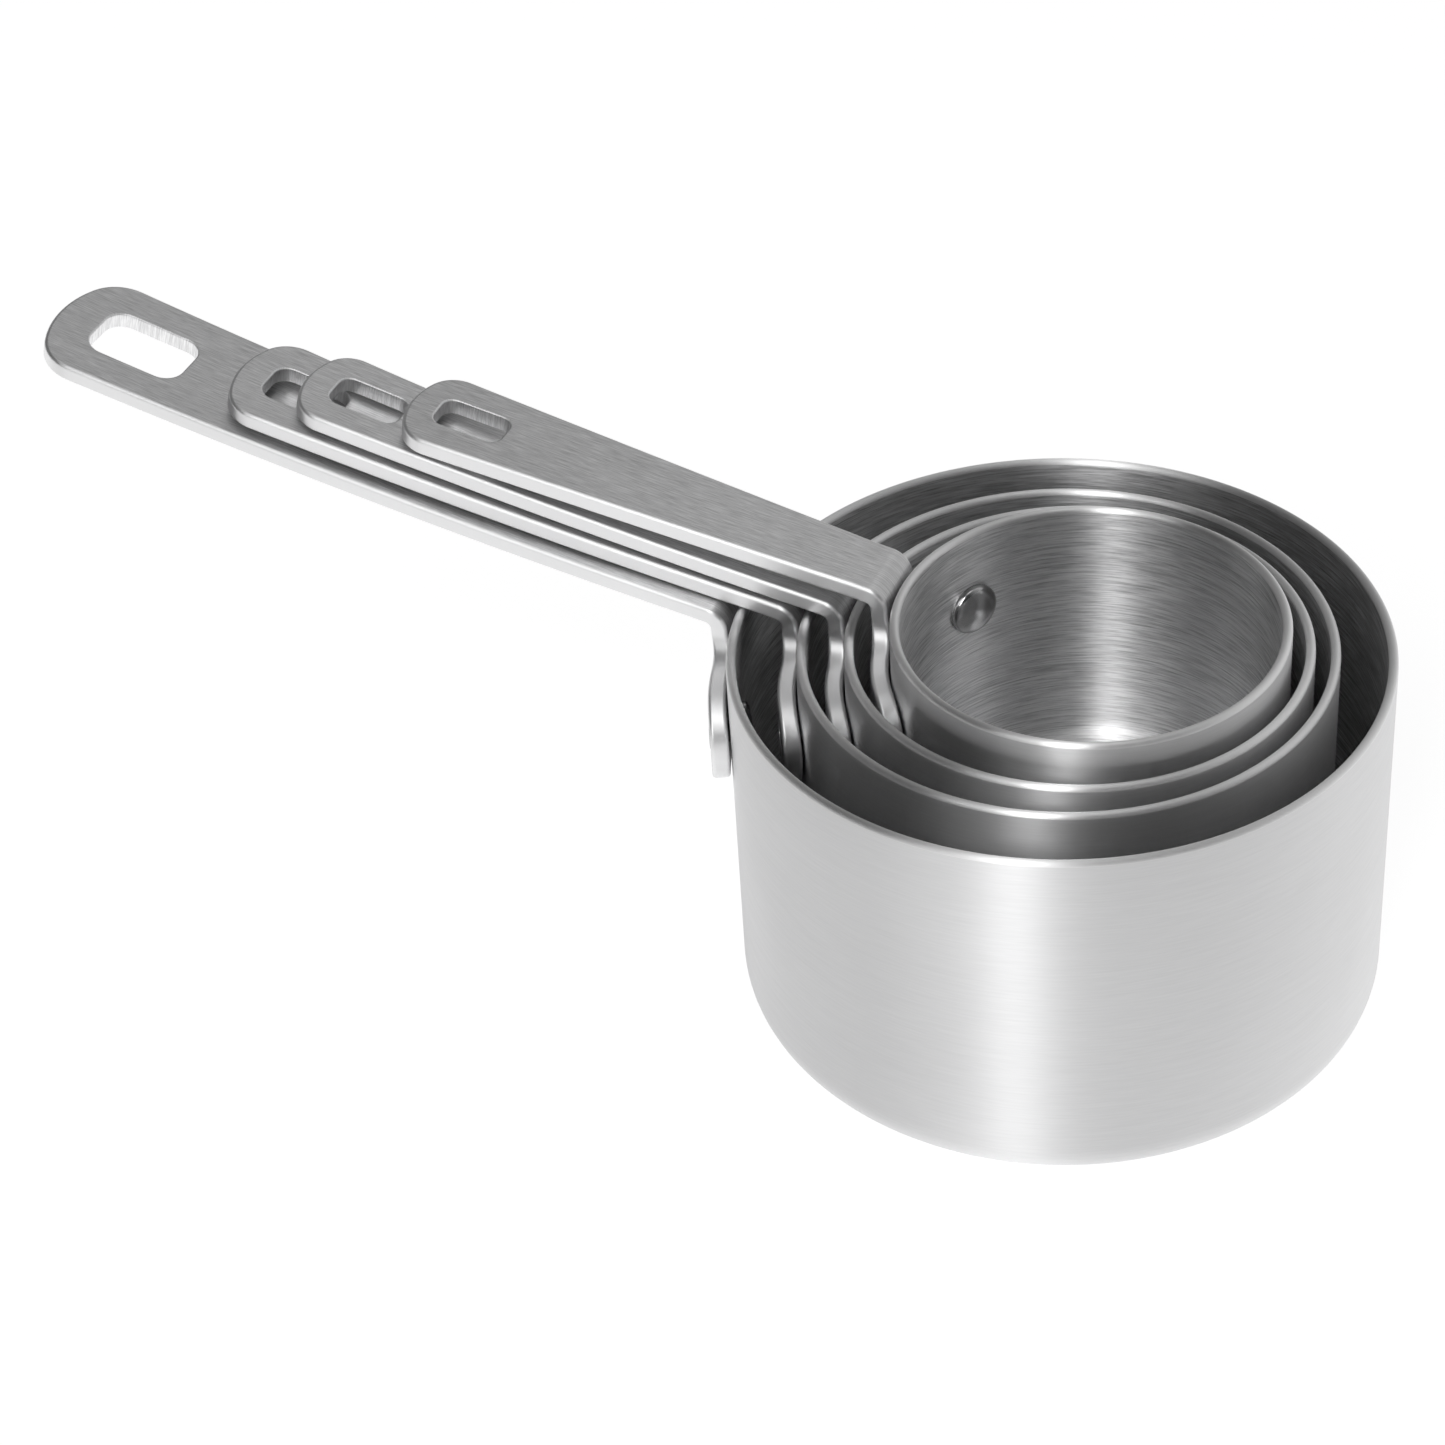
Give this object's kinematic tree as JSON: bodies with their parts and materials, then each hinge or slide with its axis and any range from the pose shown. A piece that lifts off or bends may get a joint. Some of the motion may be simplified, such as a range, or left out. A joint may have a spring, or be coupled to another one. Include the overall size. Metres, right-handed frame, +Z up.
{
  "type": "measuring cup set",
  "caption": "Nested stainless steel measuring cups with straight sides, rounded rims and riveted strap handles that end in hanging slots.",
  "frame": {"origin": "centre of the large cup's underside, on the surface that the set stands on", "axes": "+Z up through the rims; -X along the handles, from the cups to the hanging slots; +Y to the left of a viewer looking along -X, so each left rivet is at +Y"},
  "size_m": [0.1793, 0.082, 0.0737],
  "materials": {
    "cup_steel": "satin, fine grain running round the wall",
    "strap_steel": "satin, grain running along the handle, polished rounded edges",
    "rivet_steel": "satin"
  },
  "bodies": {
    "set_250": {"cup_250": "cup_steel", "handle_250": "strap_steel", "rivet_250_left": "rivet_steel", "rivet_250_right": "rivet_steel"},
    "set_125": {"cup_125": "cup_steel", "handle_125": "strap_steel", "rivet_125_left": "rivet_steel", "rivet_125_right": "rivet_steel"},
    "set_80": {"cup_80": "cup_steel", "handle_80": "strap_steel", "rivet_80_left": "rivet_steel", "rivet_80_right": "rivet_steel"},
    "set_60": {"cup_60": "cup_steel", "handle_60": "strap_steel", "rivet_60_left": "rivet_steel", "rivet_60_right": "rivet_steel"}
  },
  "joints": [
    {"name": "lift_125", "type": "slide", "parent": "set_250", "child": "set_125", "axis": [0, 0, 1], "range_m": [0, 0.06]},
    {"name": "lift_80", "type": "slide", "parent": "set_125", "child": "set_80", "axis": [0, 0, 1], "range_m": [0, 0.05]},
    {"name": "lift_60", "type": "slide", "parent": "set_80", "child": "set_60", "axis": [0, 0, 1], "range_m": [0, 0.05]}
  ]
}
